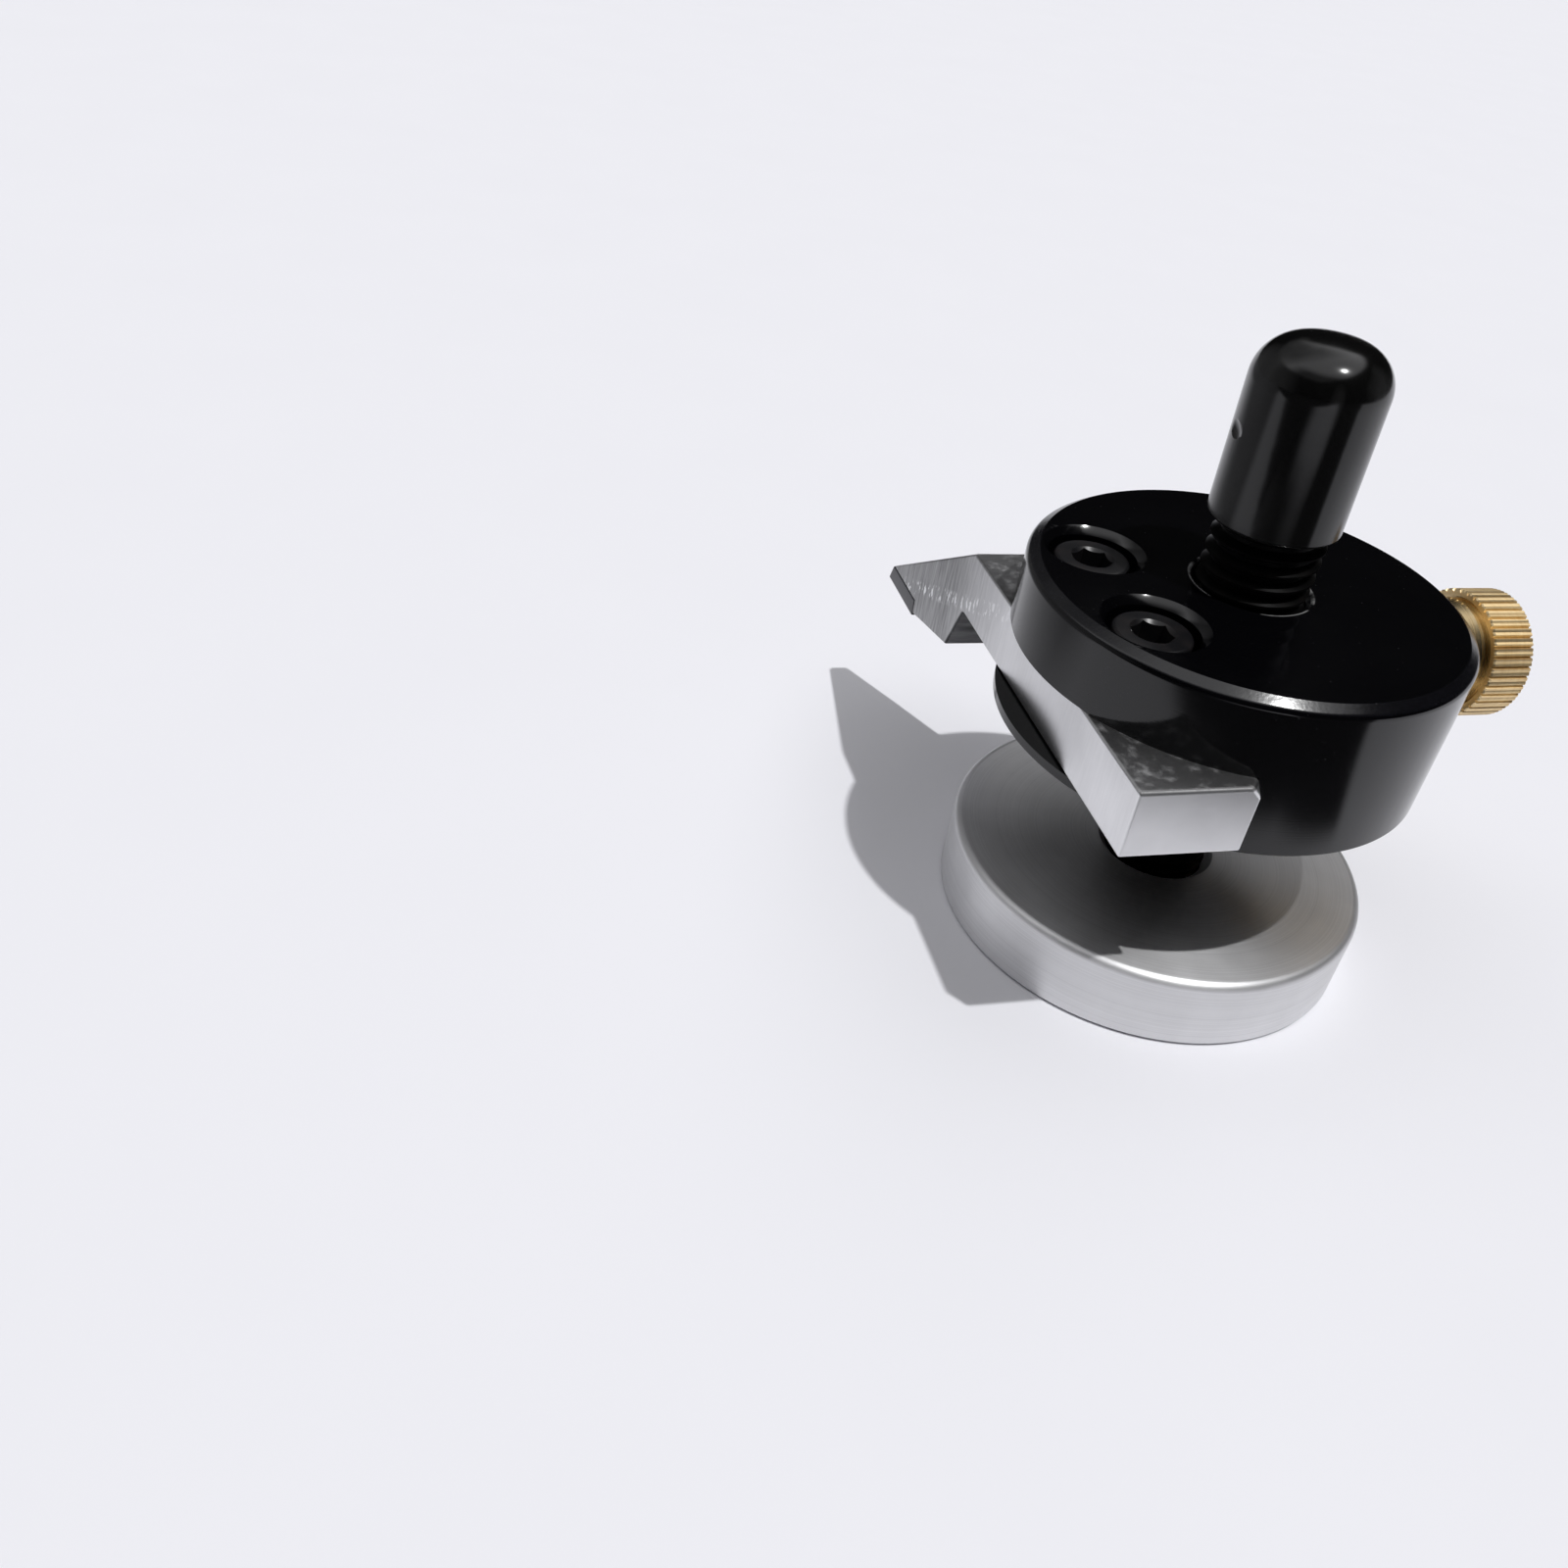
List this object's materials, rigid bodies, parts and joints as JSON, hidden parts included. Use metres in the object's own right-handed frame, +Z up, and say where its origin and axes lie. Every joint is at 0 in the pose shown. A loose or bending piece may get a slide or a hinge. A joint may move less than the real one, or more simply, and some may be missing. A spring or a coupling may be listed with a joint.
{
  "type": "adjustable center scribe",
  "caption": "Bench centre scribe: round base, threaded post, round body that screws up and down it, hooked carbide-tipped scriber bar in its side slot, and a knurled lock screw.",
  "frame": {"origin": "middle of the base's flat underside, on the post's axis", "axes": "+Z up along the post, +X towards the knurled lock screw, +Y towards the scriber's point"},
  "size_m": [0.0597, 0.0744, 0.0722],
  "materials": {
    "turned_aluminium": "satin, turned",
    "black_oxide_steel": "black oxide, satin",
    "black_vinyl": "dip-moulded, glossy",
    "black_anodised": "black anodised, smooth",
    "ground_steel": "surface ground",
    "carbide": "ground, matt",
    "brass": "turned and knurled",
    "nylon": "natural"
  },
  "bodies": {
    "base": {"base": "turned_aluminium"},
    "post": {"post": "black_oxide_steel"},
    "end_cap": {"end_cap": "black_vinyl"},
    "carrier": {"body": "black_anodised", "scriber_bar": "ground_steel", "carbide_tip": "carbide", "clamp_screws": "black_oxide_steel"},
    "lock_pad": {"lock_pad": "nylon"},
    "thumb_screw": {"thumb_screw": "brass"}
  },
  "joints": [
    {"name": "body_turn", "type": "hinge", "parent": "base", "child": "post", "pos_m": [0, 0, 0.03], "axis": [0, 0, 1], "range_deg": [-3390, 1440]},
    {"name": "body_lift", "type": "slide", "parent": "post", "child": "carrier", "axis": [0, 0, 1], "range_m": [-0.0166, 0.0071]},
    {"name": "cap_pull", "type": "slide", "parent": "post", "child": "end_cap", "axis": [0, 0, 1], "range_m": [0, 0.015]},
    {"name": "lock_advance", "type": "slide", "parent": "carrier", "child": "lock_pad", "axis": [1, 0, 0], "range_m": [0, 0.0016]},
    {"name": "lock_turn", "type": "hinge", "parent": "lock_pad", "child": "thumb_screw", "pos_m": [0.024, 0, 0.03635], "axis": [1, 0, 0], "range_deg": [0, 721]}
  ],
  "couplings": [
    {"joint": "body_lift", "follows": "body_turn", "m_per_rad": 0.00027852},
    {"joint": "lock_turn", "follows": "lock_advance", "rad_per_m": 7854}
  ]
}
